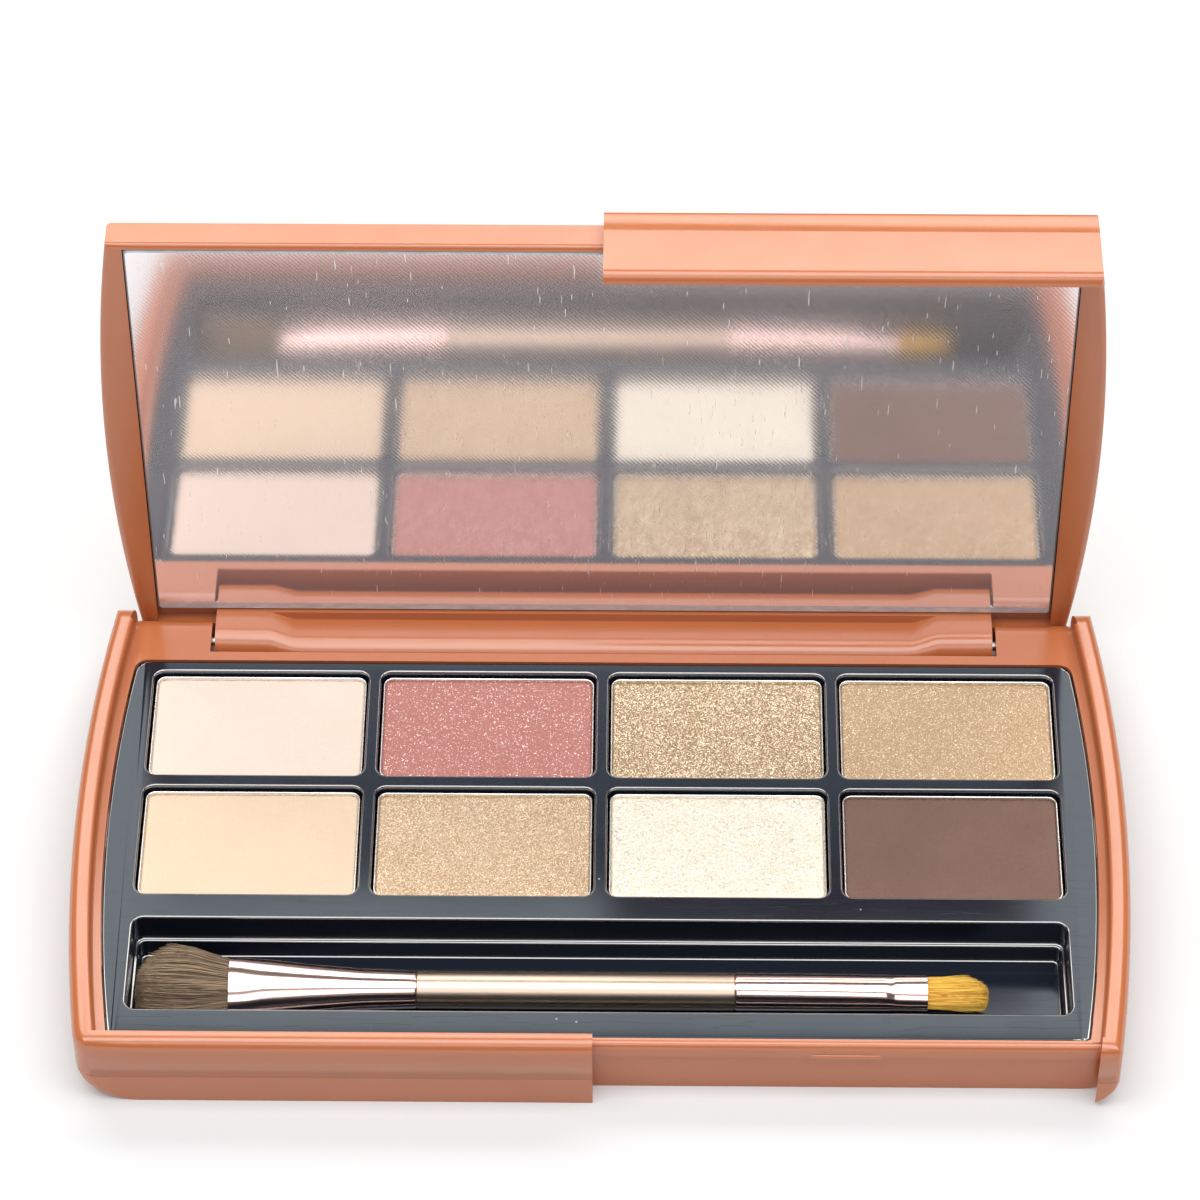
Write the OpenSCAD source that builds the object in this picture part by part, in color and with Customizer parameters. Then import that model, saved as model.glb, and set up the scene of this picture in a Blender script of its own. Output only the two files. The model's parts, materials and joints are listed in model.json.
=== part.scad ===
// Eight-pan eyeshadow palette with a hinged mirror lid and a double-ended brush.
// Millimetres. +X runs along the hinge, +Y points to the hinge side and +Z is up.
// The origin is the centre of the flat underside. The lid stands open, leaning on its stop.

/* [Case] */
// Greatest width of the case, across its bowed sides
case_w = 125.8; // [120:0.1:132]
// Depth of the case, front fascia to hinge side
case_d = 68; // [66:0.1:70]
// Radius of the bow of the two sides, seen from above
side_bow_r = 223; // [180:1:320]
// Height of the side fins and of the base fascia
fin_top = 10.8; // [10:0.1:11.4]
// Thickness of the side fins
fin_t = 2.5; // [2.2:0.1:2.8]
// Height of the line where the lower cover meets the frame
split_z = 4.6; // [3.6:0.1:5.2]
// Radius of the lower outer edge of the sides
bottom_r = 4.5; // [2:0.1:4.5]
// Radius of the upper outer edge of the fins and of the fascia
fin_edge_r = 1.4; // [0.6:0.1:1.6]
// How far each half-width fascia stands proud of the wall beside it
fascia_step = 2.05; // [1.6:0.05:2.3]
// Wall thickness of the plastic shells
shell_t = 1.5; // [1.2:0.1:1.6]

/* [Lid] */
// Height of the closed palette
closed_h = 12.7; // [12.4:0.1:13.6]
// Height of the rim of the closed lid
lid_rim_z = 8.75; // [8.7:0.05:8.9]
// Height of the line where the lid's outer cover meets its frame, lid closed
lid_split_z = 9.3; // [9.2:0.1:9.6]
// Height of the lower edge of the lid's fascia, lid closed
lid_fascia_z = 1.5; // [1.2:0.1:3]
// Angle from closed to open, in degrees
lid_open = 93; // [60:1:93]

/* [Hinge] */
// Distance of the hinge axis from the hinge-side face
hinge_inset = 2.55; // [2.5:0.05:2.6]
// Height of the hinge axis
hinge_z = 6; // [5.9:0.05:6.05]
// Diameter of the two hinge pins
pin_d = 1.2; // [0.8:0.1:1.5]
// Width of the lid's hinge lug
lug_w = 96.4; // [80:0.2:98]

/* [Mirror] */
// Width of the mirror
mirror_w = 111.1; // [100:0.1:111.2]
// Depth of the mirror
mirror_d = 59.8; // [50:0.1:59.8]
// Thickness of the mirror
mirror_t = 1.5; // [1:0.1:1.5]

/* [Pans] */
// Width of one powder pan
pan_w = 26; // [22:0.1:26.2]
// Depth of one powder pan
pan_d = 16; // [14:0.1:16.2]
// Height of one powder pan
pan_h = 4; // [3:0.1:4.2]
// Spacing of the pan columns
pan_pitch_x = 28; // [27.6:0.1:28]
// Spacing of the pan rows
pan_pitch_y = 18.2; // [17.6:0.1:18.4]
// Distance from the case centre back to the centre of the pan grid
grid_y = 7.3; // [7:0.1:7.6]

/* [Brush] */
// Diameter of the brush handle
handle_d = 4.5; // [4:0.1:5]
// Width of the large ferrule at the bristles
ferrule_w = 7.2; // [6:0.1:7.4]
// Greatest width of the large bristle head
hair_w = 10; // [8:0.1:10]
// How far the brush lifts to come out over the closed lid
brush_lift = 40; // [20:1:60]

/* [Hidden] */
$fn = 64;
bow_fn = 360;
over = 1;                 // how far a cutter runs past the face it cuts
far = 200;                // larger than the whole case

terracotta = [0.85, 0.51, 0.36];
powder_colours = [[0.99, 0.92, 0.86], [0.72, 0.41, 0.38], [0.66, 0.52, 0.35], [0.74, 0.61, 0.43],
                  [0.95, 0.84, 0.68], [0.78, 0.58, 0.42], [0.90, 0.86, 0.70], [0.33, 0.24, 0.21]];

back_y = case_d / 2;
front_y = -case_d / 2;
recess_y = front_y + fascia_step;          // face of the wall beside the base fascia
bezel_z = hinge_z + hinge_inset;           // flat top of the base frame
base_fascia_end = -0.6;                    // right end of the base fascia
lid_fascia_start = 0.15;                   // left end of the lid fascia
fascia_t = fascia_step + 0.1;
floor_t = 1.2;
fin_back_r = 3;                            // rounding of the fins' upper hinge-side corner
lip_z = 6.5;                               // lower edge of the lip on the recessed front wall
lip_t = 0.25;
nub_x = 24;                                // catch nub on that lip
nub_w = 9.4;
nub_r = 0.5;

hinge_y = back_y - hinge_inset;
pin_r = pin_d / 2;
pin_gap = 0.05;
pin_len = 9;
pin_in_lug = 4.2;
lug_r = hinge_inset - 0.05;
lug_gap = 0.4;
swing_gap = 0.35;                          // extra room for the lid's corners in the fins
block_x = lug_w / 2 + lug_gap;             // inner end of each hinge block
bar_y = 27.6;                              // back face of the bar between tray and lug
knuckle_w = 6.8;                           // full-thickness end of the lug
knuckle_taper = 2.9;
lug_mid_y = hinge_y - 1.25;                // front face of the lug's thin middle

tray_top = bezel_z - 0.15;
tray_t = 0.55;
tray_half_w = 59.2;
tray_bow_r = 200;
tray_front = -30.76;
tray_back = 26.14;
tray_gap = 0.1;
ledge_w = 0.9;
frame_plate_z = 7.2;                       // underside of the frame's flat top
pocket_gap = 0.2;
pocket_corner = 1.3;
rib_t = 0.8;
pan_floor_z = 3.5;                         // floor of the pan pockets
pan_block_back = 25.2;                     // back of the block that holds the pockets
adhesive_t = 0.15;
pan_z = pan_floor_z + adhesive_t;
pan_t = 0.3;
pan_corner = 1.2;
powder_drop = 0.35;                        // powder surface below the pan rim
adhesive_r = 5;

well_half_w = 55.05;
well_y0 = -26.95;
well_y1 = -13.65;
well_step = 0.5;
well_step_z = 4.4;
well_floor = 1.7;
well_floor_t = 0.45;

lid_gap = 0.5;                             // gap between the lid's sides and the fins
lid_half_w = case_w / 2 - fin_t - lid_gap;
lid_bow_r = side_bow_r - fin_t - lid_gap;
lid_left_y = front_y + fascia_t + 0.13;    // free edge of the lid beside its fascia
lid_fascia_y = front_y + 0.1;
lid_fascia_t = 1.45;
lid_wall = 1.2;
lid_plate = 1.2;
lid_fit = 0.05;
lid_edge_r = 0.9;
mirror_z = lid_rim_z + 0.15;
mirror_tape_t = 0.12;
mirror_gap = 0.1;
mirror_y0 = -30.9;
pocket_back = 31;
tape_w = 8;

brush_y = -21.1;
brush_z = 4.45;
brush_roll = 25;
handle_x0 = -21.4;
handle_x1 = 16;
large_ferrule_x = -43.4;
large_crimp_x = -40.4;
small_ferrule_x = 38.5;
small_crimp_x = 34.2;
hair_tip_x = -54.3;
small_tip_x = 45.7;
ferrule_t = 0.25;
tenon_l = 8;
tenon_r = handle_d / 2 - ferrule_t - 0.02;
small_tenon_l = 5;
small_tenon_r = tenon_r - 0.35;
small_ferrule_w = 4.3;

// ---- shared shapes ----

// a turned disc with rounded lower and upper edges
module drum(r, z0, z1, low_r = 0, high_r = 0) {
    rotate_extrude($fn = bow_fn) {
        translate([0, z0]) square([r - max(low_r, high_r), z1 - z0]);
        translate([0, z0 + low_r]) square([r, z1 - z0 - low_r - high_r]);
        if (low_r > 0) translate([r - low_r, z0 + low_r]) circle(low_r);
        if (high_r > 0) translate([r - high_r, z1 - high_r]) circle(high_r);
    }
}

// a slab with two bowed sides and flat front and back
module bowed(half_w, r, y0, y1, z0, z1, low_r = 0, high_r = 0) {
    intersection() {
        translate([half_w - r, 0, 0]) drum(r, z0, z1, low_r, high_r);
        translate([r - half_w, 0, 0]) drum(r, z0, z1, low_r, high_r);
        translate([-half_w, y0, z0]) cube([2 * half_w, y1 - y0, z1 - z0]);
    }
}

// what is left of a square corner outside a round of radius r; the round's axis lies along X
module edge_waste(y, z, r, y_sign, z_sign) {
    difference() {
        translate([-far / 2, min(y, y + y_sign * (r + over)), min(z, z + z_sign * (r + over))])
            cube([far, r + over, r + over]);
        translate([-far / 2 - over, y, z]) rotate([0, 90, 0]) cylinder(r = r, h = far + 2 * over);
    }
}

// a box with upright rounded corners
module rounded_box(w, d, h, r) {
    translate([-w / 2 + r, -d / 2, 0]) cube([w - 2 * r, d, h]);
    translate([-w / 2, -d / 2 + r, 0]) cube([w, d - 2 * r, h]);
    for (sx = [-1, 1], sy = [-1, 1])
        translate([sx * (w / 2 - r), sy * (d / 2 - r), 0]) cylinder(r = r, h = h, $fn = 32);
}

module at_pan(i) {
    col = (i - 1) % 4;
    row = floor((i - 1) / 4);
    translate([(col - 1.5) * pan_pitch_x, grid_y + (0.5 - row) * pan_pitch_y, 0]) children();
}

// the front of the case beside the base fascia, where the closed lid's fascia hangs
module fascia_recess(z0, z1, depth) {
    intersection() {
        bowed(case_w / 2 - fin_t, side_bow_r - fin_t, front_y - over, back_y, z0, z1);
        translate([base_fascia_end, front_y - over, z0]) cube([far, depth + over, z1 - z0]);
    }
}

// where the lid's corners swing past: round over the hinge blocks, and just into the fins
module lid_swing() {
    difference() {
        bowed(case_w / 2 - fin_t + swing_gap, side_bow_r - fin_t + swing_gap,
              hinge_y - swing_gap, back_y + over, hinge_z, far);
        along_x(-far / 2, hinge_y, hinge_z, hinge_inset, far);
        translate([-far / 2, 0, 0]) cube([far, hinge_y, bezel_z]);
    }
}

module hinge_recess() {
    translate([-block_x, bar_y, floor_t]) cube([2 * block_x, case_d, far]);
}

module along_x(x, y, z, r, len) {
    translate([x, y, z]) rotate([0, 90, 0]) cylinder(r = r, h = len);
}

// ---- base ----

module base_cover() {
    color(terracotta) difference() {
        bowed(case_w / 2, side_bow_r, front_y, back_y, 0, split_z, bottom_r);
        fascia_recess(-over, far, fascia_step);
        translate([base_fascia_end, recess_y - over, -over])
            cube([case_w / 2 - 4.5 - base_fascia_end, over + lip_t, far]);
        intersection() {
            bowed(case_w / 2 - shell_t, side_bow_r - shell_t, front_y, bar_y - shell_t, floor_t, far);
            union() {
                translate([-far / 2, recess_y + shell_t, 0]) cube([far, far, far]);
                translate([-far / 2, front_y + shell_t, 0])
                    cube([far / 2 + base_fascia_end - shell_t, far, far]);
            }
        }
        hinge_recess();
    }
}

module base_frame() {
    color(terracotta) {
        difference() {
            bowed(case_w / 2, side_bow_r, front_y, back_y, split_z, fin_top, 0, fin_edge_r);
            // the space inside the fins and the fascia
            bowed(case_w / 2 - fin_t, side_bow_r - fin_t, front_y + fascia_t, back_y + over, bezel_z, far);
            fascia_recess(split_z - over, far, fascia_step);
            fascia_recess(bezel_z, far, fascia_t + over);
            translate([base_fascia_end, recess_y - over, split_z - over])
                cube([case_w / 2 - 4.5 - base_fascia_end, over + lip_t, lip_z - split_z + over]);
            // the hollow under the flat top
            bowed(case_w / 2 - shell_t, side_bow_r - shell_t, recess_y + shell_t, bar_y - shell_t,
                  split_z - over, frame_plate_z);
            // the opening for the tray and the ledge under its rim
            bowed(tray_half_w + tray_gap, tray_bow_r + tray_gap, tray_front - tray_gap,
                  tray_back + tray_gap, tray_top - tray_t, far);
            bowed(tray_half_w - ledge_w, tray_bow_r - ledge_w, tray_front + ledge_w,
                  tray_back - ledge_w, split_z, far);
            hinge_recess();
            // rounded edges of the fascia and of the fins at the hinge side
            edge_waste(front_y + fin_edge_r, fin_top - fin_edge_r, fin_edge_r, -1, 1);
            edge_waste(back_y - fin_back_r, fin_top - fin_back_r, fin_back_r, 1, 1);
            lid_swing();
            along_x(-block_x - pin_len, hinge_y, hinge_z, pin_r, pin_len + over);
            along_x(block_x - over, hinge_y, hinge_z, pin_r, pin_len + over);
        }
        // catch nub on the lip of the recessed front wall
        intersection() {
            along_x(nub_x, recess_y + nub_r / 2, lip_z + nub_r, nub_r, nub_w);
            translate([0, recess_y - over, 0]) cube([far, over, far]);
        }
    }
}

module tray() {
    color([0.08, 0.08, 0.09]) difference() {
        union() {
            bowed(tray_half_w, tray_bow_r, tray_front, tray_back, tray_top - tray_t, tray_top);
            translate([-2 * pan_pitch_x, grid_y - pan_pitch_y, pan_floor_z - rib_t])
                cube([4 * pan_pitch_x, pan_block_back - grid_y + pan_pitch_y,
                      tray_top - pan_floor_z + rib_t - tray_t]);
            translate([-well_half_w - rib_t, well_y0 - rib_t, well_floor - well_floor_t])
                cube([2 * (well_half_w + rib_t), well_y1 - well_y0 + 2 * rib_t,
                      tray_top - well_floor + well_floor_t - tray_t]);
        }
        for (i = [1 : 8]) at_pan(i) translate([0, 0, pan_floor_z])
            rounded_box(pan_w + 2 * pocket_gap, pan_d + 2 * pocket_gap, far, pocket_corner);
        translate([0, (well_y0 + well_y1) / 2, well_step_z])
            rounded_box(2 * well_half_w, well_y1 - well_y0, far, pocket_corner);
        translate([0, (well_y0 + well_y1) / 2, well_floor])
            rounded_box(2 * (well_half_w - well_step), well_y1 - well_y0 - 2 * well_step, far, 0.9);
    }
}

module pan(i) {
    color("silver") at_pan(i) translate([0, 0, pan_z]) difference() {
        rounded_box(pan_w, pan_d, pan_h, pan_corner);
        translate([0, 0, pan_t])
            rounded_box(pan_w - 2 * pan_t, pan_d - 2 * pan_t, pan_h, pan_corner - pan_t);
    }
}

module powder(i) {
    color(powder_colours[i - 1]) at_pan(i) translate([0, 0, pan_z + pan_t])
        rounded_box(pan_w - 2 * pan_t, pan_d - 2 * pan_t, pan_h - pan_t - powder_drop,
                    pan_corner - pan_t);
}

module pan_adhesive() {
    color("ivory") for (i = [1 : 8]) at_pan(i) translate([0, 0, pan_floor_z])
        cylinder(r = adhesive_r, h = adhesive_t);
}

module hinge_pin(side) {
    inner = lug_w / 2 - pin_in_lug;
    color("lightgrey") along_x(side > 0 ? inner : -inner - pin_len, hinge_y, hinge_z, pin_r, pin_len);
}

// ---- lid, drawn closed and then swung open about the hinge ----

module opened() {
    translate([0, hinge_y, hinge_z]) rotate([-lid_open, 0, 0])
        translate([0, -hinge_y, -hinge_z]) children();
}

module lid_slab(inset, z0, z1, high_r = 0) {
    bowed(lid_half_w - inset, lid_bow_r - inset, lid_left_y + inset, back_y - inset, z0, z1, 0, high_r);
}

// the fascia's strip in front of the lid, over the right half
module lid_fascia(z0, z1) {
    intersection() {
        bowed(lid_half_w, lid_bow_r, lid_fascia_y, back_y, z0, z1);
        translate([lid_fascia_start, lid_fascia_y, z0])
            cube([far, lid_left_y + lid_wall - lid_fascia_y, z1 - z0]);
    }
}

module lid_cover() {
    color(terracotta) opened() difference() {
        union() {
            lid_slab(0, lid_split_z, closed_h, lid_edge_r);
            lid_fascia(lid_split_z, closed_h);
        }
        lid_slab(lid_wall, 0, closed_h - lid_plate);
        mirror_pocket();
    }
}

// the mirror's place, open towards the pans
module mirror_pocket() {
    translate([-mirror_w / 2 - mirror_gap, mirror_y0 - mirror_gap, 0])
        cube([mirror_w + 2 * mirror_gap, mirror_d - mirror_gap, mirror_z + mirror_t + mirror_tape_t]);
}

module lug_knuckle(w) {
    along_x(0, hinge_y, hinge_z, lug_r, w);
    translate([0, hinge_y - lug_r, hinge_z]) cube([w, 2 * lug_r, lid_split_z - hinge_z]);
}

module lug() {
    mid_half = lug_w / 2 - knuckle_w;
    translate([-mid_half, lug_mid_y, hinge_z - lug_r])
        cube([2 * mid_half, hinge_y + lug_r - lug_mid_y, lid_split_z - hinge_z + lug_r]);
    translate([mid_half, 0, 0]) lug_knuckle(knuckle_w);
    translate([-lug_w / 2, 0, 0]) lug_knuckle(knuckle_w);
    // sloping faces between the knuckles and the thin middle
    for (side = [0, 1]) mirror([side, 0, 0]) translate([mid_half, 0, hinge_z])
        linear_extrude(lid_split_z - hinge_z)
            polygon([[0, lug_mid_y], [0, hinge_y - lug_r], [-knuckle_taper, lug_mid_y]]);
}

module lid_frame() {
    color(terracotta) opened() difference() {
        union() {
            lid_slab(0, lid_rim_z, lid_split_z);
            lid_slab(lid_wall + lid_fit, lid_rim_z, closed_h - lid_plate - lid_fit);
            difference() {
                lid_fascia(lid_fascia_z, lid_split_z);
                translate([-far / 2, lid_fascia_y + lid_fascia_t, 0]) cube([far, far, lid_rim_z]);
            }
            // catch tooth inside the fascia
            translate([nub_x + 1, lid_fascia_y + lid_fascia_t - 0.1, 4.6]) cube([nub_w - 2, 0.27, 1]);
            lug();
        }
        mirror_pocket();
        // the strip beyond the mirror at the hinge side, on both sides of the lug
        difference() {
            translate([-mirror_w / 2 - mirror_gap, mirror_y0, lid_rim_z - over])
                cube([mirror_w + 2 * mirror_gap, pocket_back - mirror_y0,
                      mirror_z + mirror_t + mirror_tape_t - lid_rim_z + over]);
            translate([-lug_w / 2, mirror_y0 + mirror_d + 0.05, 0]) cube([lug_w, far, far]);
        }
        along_x(-lug_w / 2 - over, hinge_y, hinge_z, pin_r + pin_gap, pin_in_lug + 0.3 + over);
        along_x(lug_w / 2 - pin_in_lug - 0.3, hinge_y, hinge_z, pin_r + pin_gap, pin_in_lug + 0.3 + over);
    }
}

module mirror_plate() {
    color([0.75, 0.8, 0.85]) opened()
        translate([-mirror_w / 2, mirror_y0, mirror_z]) cube([mirror_w, mirror_d, mirror_t]);
}

module mirror_adhesive() {
    color("whitesmoke") opened() for (side = [0, 1]) mirror([side, 0, 0])
        translate([mirror_w / 2 - 8 - tape_w, mirror_y0 + 6, mirror_z + mirror_t])
            cube([tape_w, mirror_d - 12, mirror_tape_t]);
}

// ---- brush, along X, its flattened ends rolled a little about their axis ----

module on_brush() {
    translate([0, brush_y, brush_z]) rotate([brush_roll, 0, 0]) children();
}

// a thin upright oval across the brush at x
module oval(x, w, t) {
    translate([x, 0, 0]) rotate([0, 90, 0]) linear_extrude(0.05) scale([t / w, 1]) circle(d = w, $fn = 32);
}

// a tube's outer or inner shape: round at the handle, oval from the crimp to the end
module ferrule_shape(x_handle, x_crimp, x_end, d, w, t_crimp, t_end) {
    hull() {
        oval(x_handle, d, d);
        oval(x_crimp, w, t_crimp);
        oval(x_end, w, t_end);
    }
}

module brush_handle() {
    color([0.66, 0.55, 0.45]) {
        along_x(handle_x0, brush_y, brush_z, handle_d / 2, handle_x1 - handle_x0);
        along_x(handle_x0 - tenon_l, brush_y, brush_z, tenon_r, tenon_l);
        translate([handle_x1, brush_y, brush_z]) rotate([0, 90, 0])
            cylinder(r1 = tenon_r, r2 = small_tenon_r, h = small_tenon_l);
    }
}

module ferrule_large() {
    color([0.87, 0.68, 0.64]) on_brush() difference() {
        ferrule_shape(handle_x0 - 0.05, large_crimp_x, large_ferrule_x, handle_d, ferrule_w, 4.9, 4.3);
        ferrule_shape(handle_x0 + 0.1, large_crimp_x, large_ferrule_x - 0.2, handle_d - 2 * ferrule_t,
                      ferrule_w - 2 * ferrule_t, 4.9 - 2 * ferrule_t, 4.3 - 2 * ferrule_t);
    }
}

module ferrule_small() {
    color([0.87, 0.68, 0.64]) on_brush() difference() {
        ferrule_shape(handle_x1, small_crimp_x, small_ferrule_x, handle_d, small_ferrule_w, 3.3, 2.6);
        ferrule_shape(handle_x1 - 0.1, small_crimp_x, small_ferrule_x + 0.2, handle_d - 2 * ferrule_t,
                      small_ferrule_w - 2 * ferrule_t, 3.3 - 2 * ferrule_t, 2.6 - 2 * ferrule_t);
    }
}

module bristles_large() {
    w = ferrule_w - 2 * ferrule_t - 0.1;
    t = 4.3 - 2 * ferrule_t - 0.1;
    color([0.42, 0.33, 0.26]) difference() {
        on_brush() hair_shape(w, t);
        // flat where the hair rests on the floor of the well
        translate([-far / 2, -far / 2, well_floor + 0.05 - far]) cube(far);
    }
}

module hair_shape(w, t) {
    hull() {
        oval(large_crimp_x - 0.4, w - 0.3, t - 0.3);
        oval(large_ferrule_x - 0.6, w - 0.3, t - 0.3);
    }
    hull() {
        oval(large_ferrule_x - 0.2, w, t);
        oval(large_ferrule_x - 5.5, hair_w, 5.2);
        oval(hair_tip_x + 1.6, hair_w * 0.82, 4.4);
        oval(hair_tip_x, hair_w * 0.5, 2.8);
    }
}

module bristles_small() {
    w = small_ferrule_w - 2 * ferrule_t - 0.1;
    t = 2.6 - 2 * ferrule_t - 0.1;
    color([0.87, 0.62, 0.22]) on_brush() {
        hull() {
            oval(small_crimp_x + 0.6, w - 0.3, t - 0.3);
            oval(small_ferrule_x + 0.5, w - 0.3, t - 0.3);
        }
        hull() {
            oval(small_ferrule_x + 0.15, w, t);
            oval(small_tip_x - 2.5, small_ferrule_w * 0.92, 1.8);
            oval(small_tip_x, small_ferrule_w * 0.45, 0.8);
        }
    }
}

base_cover();
base_frame();
tray();
for (i = [1 : 8]) {
    pan(i);
    powder(i);
}
pan_adhesive();
hinge_pin(-1);  // hinge_pin_left
hinge_pin(1);  // hinge_pin_right
lid_cover();
lid_frame();
mirror_plate();  // mirror
mirror_adhesive();
brush_handle();
ferrule_large();
ferrule_small();
bristles_large();
bristles_small();
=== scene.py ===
"""Eyeshadow palette: the looks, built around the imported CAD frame.

Shapes are drawn in millimetres in the palette's own frame: +X along the hinge, +Y to the hinge
side, +Z up, the origin under the middle of the case. The lid's pieces are drawn closed and then
swung open about the hinge, as they stand at rest.
"""
import json
import math
import random

import bmesh
import bpy
from mathutils import Matrix, Vector, noise


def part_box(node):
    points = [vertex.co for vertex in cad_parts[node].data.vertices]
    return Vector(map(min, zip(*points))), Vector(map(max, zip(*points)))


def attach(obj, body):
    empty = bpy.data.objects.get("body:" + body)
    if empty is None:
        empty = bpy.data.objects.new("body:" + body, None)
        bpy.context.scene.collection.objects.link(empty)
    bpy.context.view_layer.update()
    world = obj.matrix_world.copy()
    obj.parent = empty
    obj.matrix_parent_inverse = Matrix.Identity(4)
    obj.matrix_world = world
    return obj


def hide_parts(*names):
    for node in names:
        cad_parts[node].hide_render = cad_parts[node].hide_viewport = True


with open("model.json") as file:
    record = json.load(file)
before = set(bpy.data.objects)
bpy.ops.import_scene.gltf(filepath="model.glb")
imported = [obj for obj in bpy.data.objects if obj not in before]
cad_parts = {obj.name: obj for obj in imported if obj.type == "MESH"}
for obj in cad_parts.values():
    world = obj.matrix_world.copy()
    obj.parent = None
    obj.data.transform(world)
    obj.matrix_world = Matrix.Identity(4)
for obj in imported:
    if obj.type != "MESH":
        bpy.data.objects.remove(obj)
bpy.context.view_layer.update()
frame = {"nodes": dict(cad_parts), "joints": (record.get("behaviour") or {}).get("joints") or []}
random.seed(11)

MM = 0.001
SCENE = bpy.context.scene


def node_box(name):
    """Lowest and highest corners of a CAD node, in millimetres."""
    lo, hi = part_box(name)
    return Vector(lo) / MM, Vector(hi) / MM


# ---------------------------------------------------------------- sizes
COVER_LO, COVER_HI = node_box("base_cover")
TRAY_LO, TRAY_HI = node_box("tray")
HINGE = next(j for j in frame["joints"] if j["name"] == "lid_hinge")
HINGE_Y = HINGE["pos_m"][1] / MM
HINGE_Z = HINGE["pos_m"][2] / MM
LID_OPEN = math.radians(HINGE["range_deg"][1])

CASE_HALF = COVER_HI.x
FRONT = COVER_LO.y
BACK = COVER_HI.y
SPLIT_Z = COVER_HI.z
PARTING = 0.06                              # the fine chamfers that draw the parting lines
FIN_TOP = node_box("base_frame")[1].z
SIDE_BOW = 223.0                            # radius of the bowed sides, seen from above
BOTTOM_R = 4.5
FIN_T = 2.5                                 # the fins are the case's raised side walls
FIN_EDGE_R = 1.4
FIN_INNER_R = 0.35
COVE_W = 1.3                                # a low cove runs along the foot of each fin
COVE_R = 0.4
COVE_RISE = 0.16
BEZEL_R = 0.8
CASE_CORNERS = (2.6, 0.8, 0)                # front left, front right, back
FIN_BACK_R = 3.0
FASCIA_STEP = 2.05                          # how far the front is set back beside the base fascia
FASCIA_T = FASCIA_STEP + 0.1
FASCIA_END = -0.6
RECESS_Y = FRONT + FASCIA_STEP
RECESS_SIDE = CASE_HALF - 4.5
HINGE_INSET = BACK - HINGE_Y
BEZEL_Z = HINGE_Z + HINGE_INSET
SHELL_T = 1.5
SHELL_FOOT = 2.0                            # height of the slope inside, between floor and wall
FLOOR_T = 1.2
LIP_Z = 6.5                                 # below it the recessed front is set back by LIP_T
LIP_T = 0.45
NUB_X = 24.0
NUB_W = 9.4
NUB_H = 0.7
NUB_REACH = 0.3
BAR_Y = 27.6                                # front of the hinge recess
BLOCK_X = 48.6                              # where the hinge blocks begin
SWING_GAP = 0.35
SPLITS_X = (-54.0, -36.0, -12.0, 12.0, 36.0, 54.0)   # where broad flat faces are divided

TRAY_BOW = 200.0
TRAY_T = 0.55
TRAY_GAP = 0.1
TRAY_CORNERS = (0.5, 0.5, 1.6)
TRAY_EDGE_R = 0.3
LEDGE = 0.9                                 # how far the tray's plate reaches past its opening
FACET_X = 55.8                              # beyond it the tray's top falls away towards its end
FACET_FALL = 0.48
WELL_HALF = 55.05
WELL_FRONT = -26.95
WELL_BACK = -13.65
WELL_STEP = 0.5
WELL_STEP_Z = 4.4
WELL_FLOOR = 1.7
WELL_R = 0.9
POCKET_GAP = 0.2
POCKET_R = 1.3
PAN_R = 1.2
PAN_WALL = 0.3

LID_HALF = 59.9
LID_BOW = 220.0
LID_FRONT = -31.72
LID_FASCIA_Y = -33.9
LID_FASCIA_X = 0.15
LID_FASCIA_T = 1.45
LID_FASCIA_Z = 1.5
LID_RIM_Z = 8.75
LID_SPLIT_Z = 9.3
LID_TOP_Z = 12.7
LID_EDGE_R = 0.55
LID_RIM_R = 0.75
LID_WALL = 1.2
CORE_INSET = 1.25                           # the lid frame's raised core fills the cover's cavity
SKIRT_R = 1.35                              # lower front edge of the lid's fascia
MIRROR_HALF = 55.55
MIRROR_FRONT = -30.9
MIRROR_BACK = 28.9
MIRROR_Z = 8.9
MIRROR_T = 1.5
MIRROR_GAP = 0.1
MIRROR_GRIND = 0.22
MIRROR_BAND_Z = 9.6                         # top of the ground band at the mirror's lower edge
MIRROR_TILT = math.radians(0.5)             # how unevenly the mirror sits on its adhesive
POCKET_BACK = 31.0
LUG_HALF = 48.2
LUG_R = 2.5
LUG_MID_Y = HINGE_Y - 1.25
KNUCKLE_W = 6.8
KNUCKLE_TAPER = 2.9

BRUSH_Y = -21.1
BRUSH_Z = 4.45
BRUSH_ROLL = math.radians(25)
HANDLE_R = 2.25
TENON_R = 1.95                              # where the handle runs into its ferrules
HAIR_ROOT = 1.0                             # how deep the hair is set in its ferrule
FLOOR_RADIUS = 2600.0
FAR = 90.0                                  # beyond every piece: where cutters end


# ---------------------------------------------------------------- camera, floor and light
def set_camera():
    """The view: from above the front edge, a little to the right, with a long lens."""
    place = Vector((5.45, -358.68, 457.28)) * MM
    yaw, pitch, roll = 0.0150093, 0.8487339, 0.0053661
    turn = Matrix.Rotation(yaw, 3, "Z") @ Matrix.Rotation(-pitch, 3, "X") @ Matrix.Rotation(roll, 3, "Y")
    right, ahead, up = (turn @ Vector(axis) for axis in ((1, 0, 0), (0, 1, 0), (0, 0, 1)))
    data = bpy.data.cameras.new("camera")
    data.lens = 143.775
    data.sensor_width = 36.0
    data.clip_start = 0.01
    camera = bpy.data.objects.new("camera", data)
    SCENE.collection.objects.link(camera)
    camera.matrix_world = Matrix.Translation(place) @ Matrix((right, up, -ahead)).transposed().to_4x4()
    SCENE.camera = camera


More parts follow.
